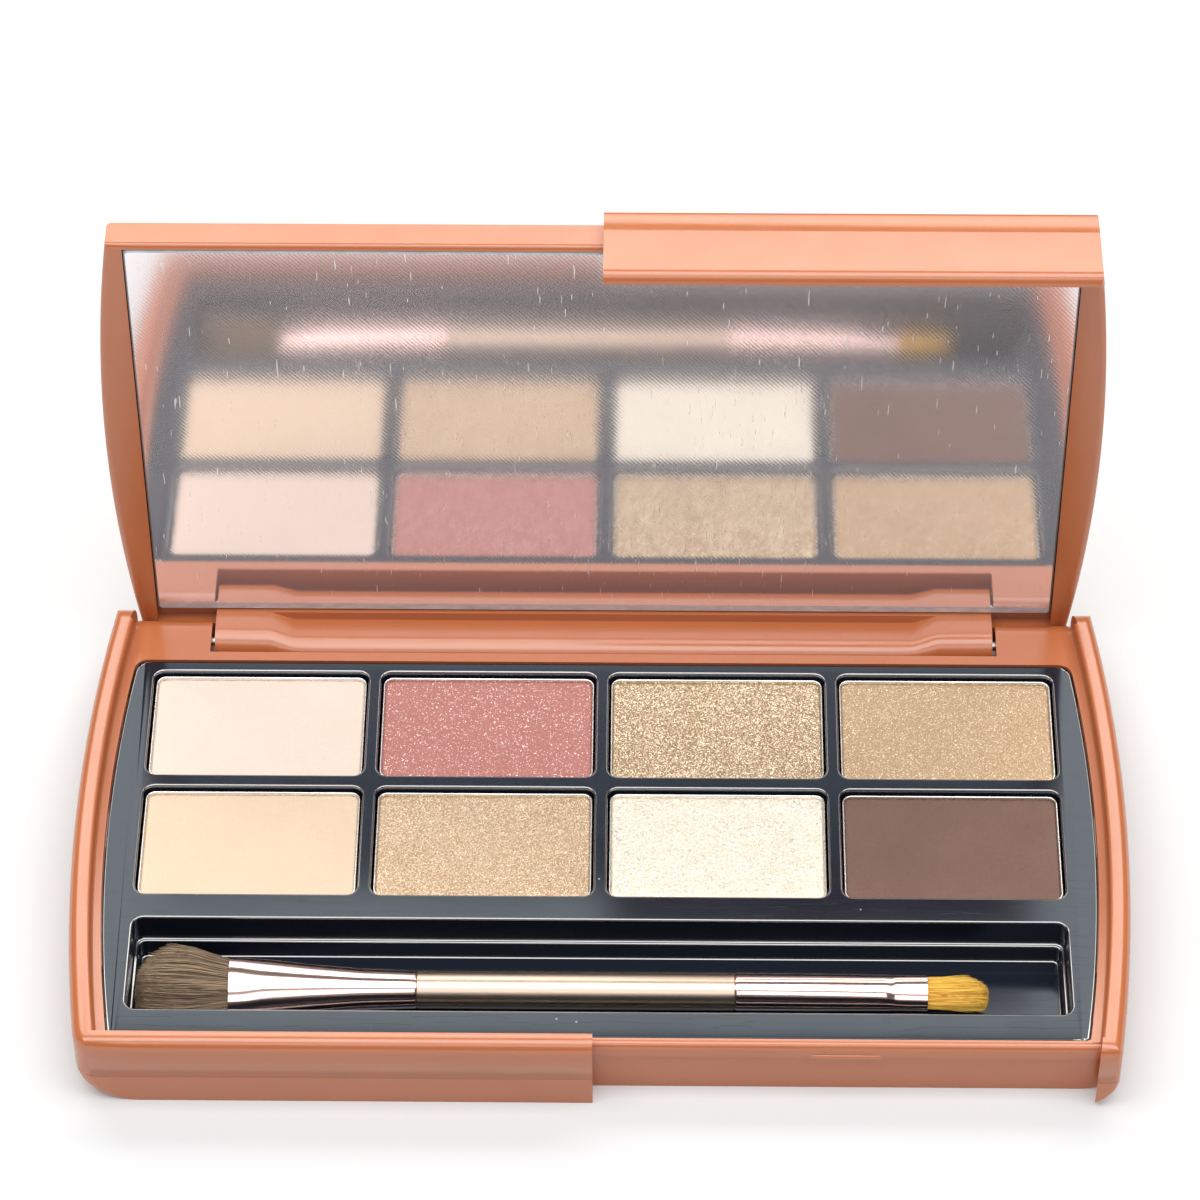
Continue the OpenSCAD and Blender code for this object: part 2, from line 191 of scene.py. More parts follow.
def softbox(name, azimuth_y, elevation, distance, width, height, radiance, tint=(1, 1, 1)):
    """A square-cornered area light that looks at the palette."""
    data = bpy.data.lights.new(name, "AREA")
    data.shape = "RECTANGLE"
    data.size = width
    data.size_y = height
    data.energy = radiance * math.pi * width * height
    data.color = tint
    light = bpy.data.objects.new(name, data)
    SCENE.collection.objects.link(light)
    light.location = (0, azimuth_y * distance * math.cos(elevation), distance * math.sin(elevation))
    aim = Vector((0, 0, 0.02)) - light.location
    light.rotation_euler = aim.to_track_quat("-Z", "Y").to_euler()


def set_light():
    """A dim pale surround with three softboxes: overhead, behind the lid and in front."""
    world = bpy.data.worlds.new("studio")
    world.use_nodes = True
    world.node_tree.nodes["Background"].inputs["Color"].default_value = (0.98, 0.98, 1.0, 1)
    world.node_tree.nodes["Background"].inputs["Strength"].default_value = 0.15
    SCENE.world = world
    SCENE.view_settings.view_transform = "Standard"
    softbox("overhead", -1, math.radians(82), 1.0, 1.9, 0.60, 3.9)
    softbox("back", 1, math.radians(49), 1.3, 1.8, 0.56, 4.2, (1.0, 0.95, 0.88))
    softbox("front", -1, math.radians(48), 1.5, 1.2, 0.5, 2.1)


# ---------------------------------------------------------------- materials
class Shader:
    """A node material: its Principled shader, with short ways to add nodes to it."""

    def __init__(self, name, settings):
        self.material = bpy.data.materials.new(name)
        self.material.use_nodes = True
        self.tree = self.material.node_tree
        self.bsdf = self.tree.nodes["Principled BSDF"]
        for socket, value in settings.items():
            self.set(socket, value)
        self.coords = self.add("TexCoord").outputs["Object"]

    def put(self, socket, value):
        if isinstance(value, bpy.types.NodeSocket):
            self.tree.links.new(value, socket)
        elif isinstance(value, tuple) and len(value) == 3 and socket.type == "RGBA":
            socket.default_value = (*value, 1)
        else:
            socket.default_value = value

    def set(self, socket, value):
        self.put(self.bsdf.inputs[socket], value)

    def add(self, kind, inputs=None, **settings):
        node = self.tree.nodes.new("ShaderNode" + kind)
        for name, value in settings.items():
            setattr(node, name, value)
        for key, value in (inputs or {}).items():
            self.put(node.inputs[key], value)
        return node

    def stretched(self, scale, turn=(0, 0, 0)):
        """The coordinates scaled along each axis, so that a texture runs in streaks."""
        return self.add("Mapping", {"Vector": self.coords, "Scale": scale, "Rotation": turn}).outputs[0]

    def noise(self, scale, detail=2.0, rough=0.5, vector=None):
        inputs = {"Vector": vector or self.coords, "Scale": scale, "Detail": detail, "Roughness": rough}
        return self.add("TexNoise", inputs).outputs["Fac"]

    def cells(self, scale):
        return self.add("TexVoronoi", {"Vector": self.coords, "Scale": scale})

    def remap(self, value, lo, hi, to_lo=0.0, to_hi=1.0):
        inputs = {"Value": value, "From Min": lo, "From Max": hi, "To Min": to_lo, "To Max": to_hi}
        return self.add("MapRange", inputs).outputs["Result"]

    def math(self, operation, a, b=0.0):
        return self.add("Math", {0: a, 1: b}, operation=operation).outputs[0]

    def mix(self, factor, a, b):
        node = self.add("Mix", data_type="RGBA")
        self.put(node.inputs[0], factor)
        self.put(node.inputs[6], a)
        self.put(node.inputs[7], b)
        return node.outputs[2]

    def bump(self, height, strength, depth):
        return self.add("Bump", {"Height": height, "Strength": strength, "Distance": depth}).outputs[0]


def terracotta():
    """Glossy coloured plastic that lets a little light in."""
    s = Shader("terracotta_plastic", {"Specular IOR Level": 1.0, "Subsurface Weight": 0.12,
                                      "Subsurface Scale": 0.0012, "Subsurface Radius": (1.0, 0.3, 0.12)})
    cloud = s.noise(45, 3)
    s.set("Base Color", s.mix(s.remap(cloud, 0.3, 0.7), (0.480, 0.140, 0.046), (0.510, 0.152, 0.052)))
    grain = s.noise(2600, 3, 0.6)
    s.set("Roughness", s.remap(s.noise(220, 4), 0.3, 0.7, 0.20, 0.26))
    s.set("Normal", s.bump(grain, 0.10, 0.00003))
    return s.material


def tray_black():
    """Polished black plastic with faint scratches and a few specks of dust."""
    # The bluish specular tint is painted light: it gives the reflections a cool cast that the warm back
    # light does not have.
    s = Shader("tray_black", {"Specular IOR Level": 0.5, "Specular Tint": (0.72, 0.87, 1.0)})
    dust = s.cells(420)
    rare = s.math("GREATER_THAN", s.add("SeparateColor", {0: dust.outputs["Color"]}).outputs[0], 0.93)
    speck = s.math("MULTIPLY", rare, s.math("LESS_THAN", dust.outputs["Distance"], 0.055))
    lines = s.noise(60, 2, 0.5, s.stretched((1, 14, 1), (0, 0, 0.3)))
    scratch = s.remap(lines, 0.495, 0.5, 0, 1)
    s.set("Base Color", s.mix(speck, (0.009, 0.011, 0.019), (0.35, 0.34, 0.33)))
    s.set("Roughness", s.math("ADD", s.remap(s.noise(90, 4), 0.3, 0.7, 0.13, 0.17),
                              s.math("MULTIPLY", speck, 0.4)))
    s.set("Normal", s.bump(s.math("ADD", s.noise(35, 1), s.math("MULTIPLY", scratch, 0.02)), 0.25, 0.0005))
    return s.material


def tray_edge():
    """The moulding's rounded edges, polished by the mould."""
    s = Shader("tray_edge", {"IOR": 2.0, "Specular IOR Level": 1.0, "Coat Weight": 1.0,
                              "Coat Roughness": 0.06, "Coat IOR": 1.8})
    s.set("Base Color", s.mix(s.noise(300), (0.010, 0.011, 0.015), (0.016, 0.017, 0.022)))
    s.set("Roughness", s.remap(s.noise(120, 3), 0.3, 0.7, 0.06, 0.12))
    return s.material


def pan_metal():
    s = Shader("pan_metal", {"Metallic": 1.0})
    s.set("Base Color", s.mix(s.noise(600, 3), (0.80, 0.77, 0.73), (0.92, 0.90, 0.87)))
    s.set("Roughness", s.remap(s.noise(900, 3), 0.3, 0.7, 0.2, 0.34))
    return s.material


def powder(name, colour, deep, grain, fleck=None, share=0.0, fleck_scale=9000, shine=0.0):
    """Pressed powder: grain, faint pressing clouds, and flecks that each lean their own way."""
    s = Shader(name, {"Specular IOR Level": 0.25})
    clouds = s.noise(150, 5, 0.6)
    fine = s.noise(5200, 3, 0.7)
    body = s.mix(s.math("MULTIPLY", clouds, s.remap(fine, 0.3, 0.7, 0.2, 1.0)), deep, colour)
    normal = s.bump(s.math("ADD", fine, s.noise(1500, 3, 0.6)), grain, 0.00025)
    if fleck:
        flakes = s.cells(fleck_scale)
        lean = s.add("VectorMath", {0: flakes.outputs["Color"], 1: (0.5, 0.5, 0.5)}, operation="SUBTRACT")
        tilt = s.add("VectorMath", {0: lean.outputs[0], "Scale": 0.55}, operation="SCALE")
        turned = s.add("VectorMath", {0: normal, 1: tilt.outputs[0]}, operation="ADD")
        facing = s.add("VectorMath", {0: turned.outputs[0]}, operation="NORMALIZE").outputs[0]
        chance = s.add("SeparateColor", {0: flakes.outputs["Color"]}).outputs[2]
        on = s.math("LESS_THAN", chance, share)
        s.set("Base Color", s.mix(on, body, fleck))
        s.set("Metallic", s.math("ADD", s.math("MULTIPLY", on, 0.9 - shine), shine))
        s.set("Roughness", s.remap(on, 0, 1, 0.6, 0.32))
        s.set("Normal", facing)
    else:
        s.set("Base Color", body)
        s.set("Metallic", shine)
        s.set("Roughness", 0.75)
        s.set("Normal", normal)
    return s.material


def mirror_glass():
    """A silvered plate under a hazy film: fine drags, a faint weave, and a ground band at the bottom."""
    s = Shader("mirror_glass", {"Coat Weight": 0.35, "Coat Roughness": 0.02})
    height = s.add("SeparateXYZ", {0: s.coords}).outputs[2]
    band = s.math("LESS_THAN", height, MIRROR_BAND_Z * MM)
    drags = s.noise(5200, 2, 0.6, s.stretched((1, 1, 0.025), (0, 0.06, 0)))
    patch = s.remap(s.noise(38, 3), 0.48, 0.7)
    hairline = s.noise(4200, 1, 0.4, s.stretched((1, 1, 0.05), (0, -0.35, 0)))
    scratch = s.math("MAXIMUM", s.math("MULTIPLY", s.remap(drags, 0.67, 0.74), patch),
                     s.math("MULTIPLY", s.remap(hairline, 0.74, 0.78), 0.8))
    weave = s.add("TexWave", {"Vector": s.stretched((1, 0, 1), (0, math.radians(40), 0)),
                              "Scale": 760.0, "Distortion": 0.0}).outputs["Fac"]
    film = s.mix(scratch, (0.93, 0.89, 0.91), (0.99, 0.99, 0.99))
    ground = s.mix(s.noise(500, 3, 0.6, s.stretched((1, 1, 5))), (0.34, 0.35, 0.39), (0.86, 0.86, 0.92))
    s.set("Base Color", s.mix(band, film, ground))
    s.set("Metallic", s.math("SUBTRACT", s.remap(scratch, 0, 1, 0.82, 0.45), s.math("MULTIPLY", band, 0.6)))
    s.set("Roughness", s.math("ADD", s.remap(height, 0.034, 0.068, 0.075, 0.11),
                              s.math("MULTIPLY", scratch, 0.35)))
    s.set("Normal", s.bump(weave, 0.08, 0.00001))
    return s.material


def mirror_edge():
    s = Shader("mirror_edge", {"Roughness": 0.12, "Specular IOR Level": 0.7})
    streak = s.noise(700, 2, 0.5, s.stretched((1, 1, 0.2)))
    s.set("Base Color", s.mix(streak, (0.20, 0.23, 0.24), (0.45, 0.46, 0.50)))
    return s.material


def metal(name, colour, rough, grain, along=(1, 1, 1)):
    """Metal with a fine grain; the higher the scale along an axis, the shorter the grain there."""
    s = Shader(name, {"Metallic": 1.0})
    streak = s.noise(1500, 3, 0.6, s.stretched(along))
    s.set("Base Color", s.mix(streak, tuple(c * 0.95 for c in colour), colour))
    s.set("Roughness", s.remap(s.noise(300, 3), 0.3, 0.7, rough * 0.94, rough * 1.06))
    s.set("Normal", s.bump(streak, grain, 0.000008))
    return s.material


def hair(name, dark, light):
    """Hair whose strands each have their own tone, from dark to light."""
    s = Shader(name, {"Roughness": 0.42, "Specular IOR Level": 0.4})
    tone = s.add("Attribute", attribute_name="strand").outputs["Fac"]
    s.set("Base Color", s.mix(tone, dark, light))
    return s.material


def glue():
    s = Shader("glue_pad", {"Roughness": 0.6})
    s.set("Base Color", s.mix(s.noise(300), (0.75, 0.72, 0.62), (0.85, 0.82, 0.74)))
    return s.material


def floor_white():
    s = Shader("floor_white", {"Roughness": 0.9, "Specular IOR Level": 0.1, "Emission Color": (1, 1, 1),
                               "Emission Strength": 0.1})
    s.set("Base Color", s.mix(s.noise(4), (0.62, 0.63, 0.64), (0.64, 0.65, 0.66)))
    return s.material


MATERIALS = {
    "terracotta_plastic": terracotta(),
    "tray_black": tray_black(),
    "tray_edge": tray_edge(),
    "pan_metal": pan_metal(),
    "mirror_glass": mirror_glass(),
    "mirror_edge": mirror_edge(),
    "pin_steel": metal("pin_steel", (0.62, 0.61, 0.60), 0.28, 0.1),
    "handle_champagne": metal("handle_champagne", (0.63, 0.49, 0.39), 0.31, 0.1, (6, 1, 1)),
    "ferrule_rose": metal("ferrule_rose", (0.92, 0.68, 0.62), 0.14, 0.05),
    "hair_brown": hair("hair_brown", (0.040, 0.026, 0.016), (0.66, 0.47, 0.30)),
    "hair_golden": hair("hair_golden", (0.92, 0.42, 0.03), (1.0, 0.80, 0.18)),
    "glue_pad": glue(),
}

POWDERS = {
    "ivory_matte": dict(colour=(0.90, 0.74, 0.64), deep=(0.82, 0.665, 0.56), grain=0.5),
    "rose_glitter": dict(colour=(0.57, 0.25, 0.22), deep=(0.46, 0.185, 0.157), grain=0.35,
                         fleck=(0.95, 0.72, 0.66), share=0.10),
    "gold_shimmer": dict(colour=(0.53, 0.355, 0.21), deep=(0.36, 0.235, 0.125), grain=0.45,
                         fleck=(0.95, 0.80, 0.58), share=0.42, shine=0.25),
    "tan_satin": dict(colour=(0.57, 0.395, 0.245), deep=(0.49, 0.33, 0.19), grain=0.3,
                      fleck=(0.88, 0.72, 0.52), share=0.20, fleck_scale=10000, shine=0.1),
    "peach_matte": dict(colour=(0.86, 0.685, 0.52), deep=(0.78, 0.60, 0.43), grain=0.6),
    "copper_glitter": dict(colour=(0.88, 0.62, 0.42), deep=(0.50, 0.30, 0.16), grain=0.6,
                           fleck=(0.98, 0.82, 0.60), share=0.45, shine=0.25),
    "champagne_glitter": dict(colour=(1.0, 0.95, 0.85), deep=(0.90, 0.78, 0.58), grain=0.45,
                              fleck=(1.0, 0.97, 0.88), share=0.35, fleck_scale=8500, shine=0.12),
    "dark_brown_matte": dict(colour=(0.27, 0.165, 0.13), deep=(0.19, 0.11, 0.085), grain=0.7),
}
for powder_name, look in POWDERS.items():
    MATERIALS[powder_name] = powder(powder_name, **look)
POWDER_SLOTS = list(POWDERS)
POWDER_RELIEF = [(0.012, 0.03), (0.016, 0.04), (0.022, 0.05), (0.016, 0.04),
                 (0.012, 0.03), (0.028, 0.05), (0.05, 0.08), (0.014, 0.03)]   # (roughness, crown)


# ---------------------------------------------------------------- mesh helpers
def new_object(name, verts, faces):
    """A mesh object from points in millimetres, with its faces turned outwards."""
    mesh = bpy.data.meshes.new(name)
    mesh.from_pydata([tuple(c * MM for c in v) for v in verts], [], faces)
    work = bmesh.new()
    work.from_mesh(mesh)
    bmesh.ops.remove_doubles(work, verts=work.verts, dist=1e-7)
    bmesh.ops.recalc_face_normals(work, faces=work.faces)
    work.to_mesh(mesh)
    work.free()
    obj = bpy.data.objects.new(name, mesh)
    SCENE.collection.objects.link(obj)
    return obj


def loft(name, rings):
    """Joins rings that have the same number of points, and fills the two ends."""
    n = len(rings[0])
    verts = [point for ring in rings for point in ring]
    faces = []
    for k in range(len(rings) - 1):
        for i in range(n):
            j = (i + 1) % n
            faces.append((k * n + i, k * n + j, (k + 1) * n + j, (k + 1) * n + i))
    faces.append(tuple(range(n))[::-1])
    faces.append(tuple((len(rings) - 1) * n + i for i in range(n)))
    return new_object(name, verts, faces)


def bow_ring(half, bow, y0, y1, z, corners=(0, 0, 0), steps=72):
    """A level outline with bowed sides; corners are its radii front left, front right and back."""
    corner_steps = 9

    def side(y):
        return half - bow + math.sqrt(bow * bow - y * y)

    def run(front, back):
        ends = [[], []]
        for end, y, turn, r in ((0, y0, 1, front), (1, y1, -1, back)):
            for k in range(corner_steps if r else 0):
                t = k / corner_steps
                x = (1 - t) ** 2 * (side(y) - r) + 2 * t * (1 - t) * side(y) + t * t * side(y + turn * r)
                ends[end].append((x, y + turn * t * t * r, z))
        ys = [y0 + front + (y1 - back - y0 - front) * k / steps for k in range(steps + 1)]
        return ends[0] + [(side(y), y, z) for y in ys] + ends[1][::-1]

    left, right, back = corners
    return run(right, back) + [(-x, y, z) for x, y, z in reversed(run(left, back))]


def bowed(name, half, bow, y0, y1, rows, corners=(0, 0, 0)):
    """A slab with bowed sides; each row is (inset of the sides, of the front, of the back, height)."""
    rings = [bow_ring(half - s, bow - s, y0 + f, y1 - b, z, corners) for s, f, b, z in rows]
    return loft(name, rings)


def quarter(r, depth, steps=8):
    """A quarter round: (inset, height above its start), from upright to flat."""
    angles = [math.pi / 2 * k / steps for k in range(steps + 1)]
    return [(r * (1 - math.cos(a)), depth * math.sin(a)) for a in angles]


def block(x0, x1, y0, y1, z0, z1):
    """A plain box between two corners."""
    return prism("cutter", [(y0, z0), (y1, z0), (y1, z1), (y0, z1)], x0, x1)


def prism(name, outline, x0, x1):
    """An outline in the YZ plane, drawn out along X."""
    return loft(name, [[(x, y, z) for y, z in outline] for x in (x0, x1)])


def round_rect(cx, cy, w, d, r, z, steps=6):
    """A level rectangle with rounded corners."""
    ring = []
    for k, (sx, sy) in enumerate(((1, 1), (-1, 1), (-1, -1), (1, -1))):
        for i in range(steps + 1):
            a = math.pi / 2 * (k + i / steps)
            x, y = cx + sx * (w / 2 - r), cy + sy * (d / 2 - r)
            ring.append((x + r * math.cos(a), y + r * math.sin(a), z))
    return ring


def waste(y, z, r, y_sign, z_sign, x0=-FAR, x1=FAR, steps=12):
    """What a square corner loses when it is rounded: the edge runs along X."""
    out = r + 1
    arc = [math.pi / 2 * k / steps for k in range(steps + 1)]
    points = [(y + y_sign * r * math.sin(a), z + z_sign * r * math.cos(a)) for a in arc]
    points += [(y + y_sign * out, z), (y + y_sign * out, z + z_sign * out), (y, z + z_sign * out)]
    return prism("cutter", points, x0, x1)


def settle(obj):
    """Applies the object's modifiers."""
    bpy.context.view_layer.update()
    shaped = obj.evaluated_get(bpy.context.evaluated_depsgraph_get())
    mesh = bpy.data.meshes.new_from_object(shaped)
    obj.modifiers.clear()
    old = obj.data
    obj.data = mesh
    bpy.data.meshes.remove(old)


def carve(obj, cutters, operation="DIFFERENCE"):
    """Cuts the cutters out of the object, or joins them to it, and removes them."""
    for cutter in cutters:
        change = obj.modifiers.new("cut", "BOOLEAN")
        change.operation = operation
        change.solver = "EXACT"
        change.object = cutter
    settle(obj)
    for cutter in cutters:
        bpy.data.objects.remove(cutter)
    return obj


def divide(obj, xs):
    """Splits the broad flat faces at each x, so that none of them winds round a corner of the recess."""
    work = bmesh.new()
    work.from_mesh(obj.data)
    for x in xs:
        parts = work.verts[:] + work.edges[:] + work.faces[:]
        bmesh.ops.bisect_plane(work, geom=parts, dist=1e-7, plane_co=(x * MM, 0, 0), plane_no=(1, 0, 0))
    bmesh.ops.holes_fill(work, edges=[e for e in work.edges if e.is_boundary], sides=8)
    work.to_mesh(obj.data)
    work.free()


def soften(obj, width, angle=50):
    """A small round on every edge where faces meet at more than the angle, and smooth shading."""
    obj.data.shade_smooth()
    edge = obj.modifiers.new("edge", "BEVEL")
    edge.width = width * MM
    edge.segments = 4
    edge.limit_method = "ANGLE"
    edge.angle_limit = math.radians(angle)
    edge.harden_normals = True
    edge.miter_outer = "MITER_ARC"


def smooth(obj, angle):
    """Smooth shading, with creases only where faces meet at more than the angle."""
    obj.data.shade_smooth()
    obj.data.set_sharp_from_angle(angle=math.radians(angle))


def open_lid(obj):
    """Swings a piece that was drawn on the closed lid to where it stands at rest."""
    axis = Vector((0, HINGE_Y * MM, HINGE_Z * MM))
    swing = Matrix.Translation(axis) @ Matrix.Rotation(-LID_OPEN, 4, "X") @ Matrix.Translation(-axis)
    obj.data.transform(swing)


def finish(obj, name, body, slot, replaces=()):
    """Names a piece and says what it moves with, its material slot and the CAD nodes it replaces."""
    obj.name = name
    if not obj.data.materials:
        obj.data.materials.append(MATERIALS[slot])
    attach(obj, body)
    if replaces:
        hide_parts(*replaces)


def footprint(name):
    """A CAD node's middle, width and depth seen from above, in millimetres."""
    lo, hi = node_box(name)
    return (lo.x + hi.x) / 2, (lo.y + hi.y) / 2, hi.x - lo.x, hi.y - lo.y


# ---------------------------------------------------------------- base
def recess_cutter(z0, z1, depth):
    """The front beside the base fascia, as deep as given, between the fins."""
    space = bowed("cutter", CASE_HALF - FIN_T, SIDE_BOW - FIN_T, FRONT - 1, FRONT + depth,
                  [(0, 0, 0, z0), (0, 0, 0, z1)])
    return carve(space, [block(-FAR, FASCIA_END, -FAR, FAR, z0 - 1, z1 + 1)])


def hinge_recess():
    """The open space at the back between the hinge blocks."""
    return block(-BLOCK_X, BLOCK_X, BAR_Y, FAR, FLOOR_T, FAR)


def base_cover():
    """The lower shell: round along its bottom sides, with the base fascia at the front left."""
    rows = [(s, 0, 0, BOTTOM_R - h) for s, h in reversed(quarter(BOTTOM_R, BOTTOM_R, 12))]
    rows.append((0, 0, 0, SPLIT_Z - PARTING))
    rows.append((PARTING, PARTING, PARTING, SPLIT_Z))
    cover = bowed("base_cover_shell", CASE_HALF, SIDE_BOW, FRONT, BACK, rows, CASE_CORNERS)
    cavity = bowed("cutter", CASE_HALF - SHELL_T, SIDE_BOW - SHELL_T, RECESS_Y + SHELL_T, BAR_Y - SHELL_T,
                   [(SHELL_T, 0, 0, FLOOR_T), (0, 0, 0, FLOOR_T + SHELL_FOOT), (0, 0, 0, SPLIT_Z + 1)])
    carve(cover, [recess_cutter(-1, SPLIT_Z + 1, FASCIA_STEP),
                  block(FASCIA_END, RECESS_SIDE, RECESS_Y - 1, RECESS_Y + LIP_T, -1, SPLIT_Z + 1),
                  cavity, hinge_recess()])
    divide(cover, SPLITS_X)
    soften(cover, 0.35)
    finish(cover, "base_cover_shell", "base", "terracotta_plastic", ["base_cover"])


def swing_cutter():
    """Where the lid's corners swing past the hinge blocks and the ends of the fins."""
    space = bowed("cutter", CASE_HALF - FIN_T + SWING_GAP, SIDE_BOW - FIN_T + SWING_GAP,
                  HINGE_Y - SWING_GAP, BACK + 1, [(0, 0, 0, HINGE_Z), (0, 0, 0, FIN_TOP + 1)])
    arc = [2 * math.pi * k / 64 for k in range(64)]
    barrel = [(HINGE_Y + HINGE_INSET * math.cos(a), HINGE_Z + HINGE_INSET * math.sin(a)) for a in arc]
    return carve(space, [prism("cutter", barrel, -FAR, FAR),
                         block(-FAR, FAR, -FAR, HINGE_Y, 0, BEZEL_Z)])


def base_frame():
    """The upper shell: the fins, the bezel around the tray, and the hinge blocks."""
    rows = [(PARTING, PARTING, PARTING, SPLIT_Z), (0, 0, 0, SPLIT_Z + PARTING)]
    rows += [(s, 0, 0, FIN_TOP - FIN_EDGE_R + h) for s, h in quarter(FIN_EDGE_R, FIN_EDGE_R)]
    body = bowed("base_frame_shell", CASE_HALF, SIDE_BOW, FRONT, BACK, rows, CASE_CORNERS)
    cove = [(COVE_R - h, 0, 0, BEZEL_Z + COVE_RISE + s) for s, h in quarter(COVE_R, COVE_R)]
    flare = [(-s, -s * 0.3, 0, FIN_TOP - FIN_INNER_R + h) for s, h in quarter(FIN_INNER_R, FIN_INNER_R)]
    above = (-FIN_INNER_R, -FIN_INNER_R * 0.3, 0, FIN_TOP + 1)
    inner = bowed("cutter", CASE_HALF - FIN_T, SIDE_BOW - FIN_T, FRONT + FASCIA_T, BACK + 1,
                  [(COVE_W, 0, 0, BEZEL_Z)] + cove + flare + [above])
    seat = bowed("cutter", TRAY_HI.x + TRAY_GAP, TRAY_BOW + TRAY_GAP,
                 TRAY_LO.y - TRAY_GAP, TRAY_HI.y + TRAY_GAP,
                 [(0, 0, 0, TRAY_HI.z - TRAY_T), (0, 0, 0, FIN_TOP + 1)], TRAY_CORNERS)
    opening = bowed("cutter", TRAY_HI.x - LEDGE, TRAY_BOW - LEDGE, TRAY_LO.y + LEDGE, TRAY_HI.y - LEDGE,
                    [(0, 0, 0, SPLIT_Z - 1), (0, 0, 0, FIN_TOP + 1)])
    carve(body, [inner,
                 recess_cutter(SPLIT_Z - 1, FIN_TOP + 1, FASCIA_STEP),
                 recess_cutter(BEZEL_Z, FIN_TOP + 1, FASCIA_T + 0.02),
                 waste(RECESS_Y + BEZEL_R, BEZEL_Z - BEZEL_R, BEZEL_R, -1, 1,
                       FASCIA_END, RECESS_SIDE - 0.4),
                 block(FASCIA_END, RECESS_SIDE, RECESS_Y - 1, RECESS_Y + LIP_T, SPLIT_Z - 1, LIP_Z),
                 seat, opening, hinge_recess(),
                 waste(FRONT + FIN_EDGE_R, FIN_TOP - FIN_EDGE_R, FIN_EDGE_R, -1, 1),
                 waste(BACK - FIN_BACK_R, FIN_TOP - FIN_BACK_R, FIN_BACK_R, 1, 1),
                 swing_cutter()])
    divide(body, SPLITS_X)
    soften(body, 0.2)
    finish(body, "base_frame_shell", "base", "terracotta_plastic", ["base_frame"])


def catch_nub():
    """The low bump on the lip of the recessed front, where the closed lid catches."""
    steps, sides = 18, 12
    rings = []
    for k in range(steps + 1):
        t = k / steps
        swell = min(1.0, 6 * t, 6 * (1 - t))
        swell = math.sin(swell * math.pi / 2) + 0.02
        ring = []
        for i in range(sides + 1):
            a = math.pi * i / sides
            ring.append((NUB_X + NUB_W * t, RECESS_Y + 0.05 - NUB_REACH * swell * math.sin(a),
                         LIP_Z + 0.1 - NUB_H / 2 * math.cos(a) * (0.4 + 0.6 * swell)))
        rings.append(ring)
    nub = loft("catch_nub", rings)
    nub.data.shade_smooth()
    finish(nub, "catch_nub", "base", "terracotta_plastic")


# ---------------------------------------------------------------- tray, pans and powders
def pocket_cutter(cx, cy, w, d, r, floor_z):
    """What a pocket with rounded corners takes out, from its floor upwards."""
    return loft("cutter", [round_rect(cx, cy, w, d, r, z) for z in (floor_z, FAR)])


def facet_cutter(side):
    """What the tray loses at one end, where its top falls away beyond FACET_X."""
    out = TRAY_HI.x + 2
    outline = ((FACET_X, TRAY_HI.z), (out, TRAY_HI.z - FACET_FALL), (out, FAR), (FACET_X, FAR))
    verts = [(side * x, y, z) for y in (-FAR, FAR) for x, z in outline]
    faces = [(0, 1, 2, 3), (7, 6, 5, 4)]
    faces += [(k, k + 4, (k + 1) % 4 + 4, (k + 1) % 4) for k in range(4)]
    return new_object("cutter", verts, faces)


def tray():
    """The black moulding: a plate with eight pockets and the stepped brush well."""
    inset = LEDGE + 0.2
    rows = [(inset, inset, inset, TRAY_LO.z), (inset, inset, inset, TRAY_HI.z - TRAY_T),
            (0, 0, 0, TRAY_HI.z - TRAY_T)]
    rows += [(s, s, s, TRAY_HI.z - TRAY_EDGE_R + h) for s, h in quarter(TRAY_EDGE_R, TRAY_EDGE_R, 5)]
    plate = bowed("tray_moulding", TRAY_HI.x, TRAY_BOW, TRAY_LO.y, TRAY_HI.y, rows, TRAY_CORNERS)
    floor_z = node_box("pan_1")[0].z - 0.15
    cutters = []
    for i in range(1, 9):
        cx, cy, w, d = footprint(f"pan_{i}")
        cutters.append(pocket_cutter(cx, cy, w + 2 * POCKET_GAP, d + 2 * POCKET_GAP, POCKET_R, floor_z))
    well_y, well_d = (WELL_FRONT + WELL_BACK) / 2, WELL_BACK - WELL_FRONT
    cutters.append(pocket_cutter(0, well_y, 2 * WELL_HALF, well_d, POCKET_R, WELL_STEP_Z))
    cutters.append(pocket_cutter(0, well_y, 2 * (WELL_HALF - WELL_STEP), well_d - 2 * WELL_STEP,
                                 WELL_R, WELL_FLOOR))
    cutters += [facet_cutter(side) for side in (-1, 1)]
    carve(plate, cutters)
    plate.data.materials.append(MATERIALS["tray_black"])
    plate.data.materials.append(MATERIALS["tray_edge"])
    soften(plate, 0.24, 25)
    plate.modifiers["edge"].material = 1
    plate.modifiers["edge"].use_clamp_overlap = False
    finish(plate, "tray_moulding", "base", "tray_black", ["tray"])


def pan(i):
    """A pressed tin pan: thin walls with a rolled rim. Each row is (inset, height)."""
    lo, hi = node_box(f"pan_{i}")
    cx, cy, w, d = footprint(f"pan_{i}")
    roll = PAN_WALL / 2
    rows = [(0.5, lo.z), (0.15, lo.z + 0.1), (0, lo.z + 0.5), (0.05, hi.z - 0.35)]
    rows += [(roll - roll * math.cos(a), hi.z - roll + roll * math.sin(a))
             for a in (math.pi * k / 8 for k in range(9))]
    rows += [(PAN_WALL, hi.z - 0.5), (PAN_WALL, lo.z + 0.6), (0.6, lo.z + 0.3)]
    rings = [round_rect(cx, cy, w - 2 * s, d - 2 * s, max(PAN_R - s, 0.3), z, 8) for s, z in rows]
    tin = loft(f"tin_pan_{i}", rings)
    tin.data.shade_smooth()
    finish(tin, f"tin_pan_{i}", "base", "pan_metal", [f"pan_{i}"])


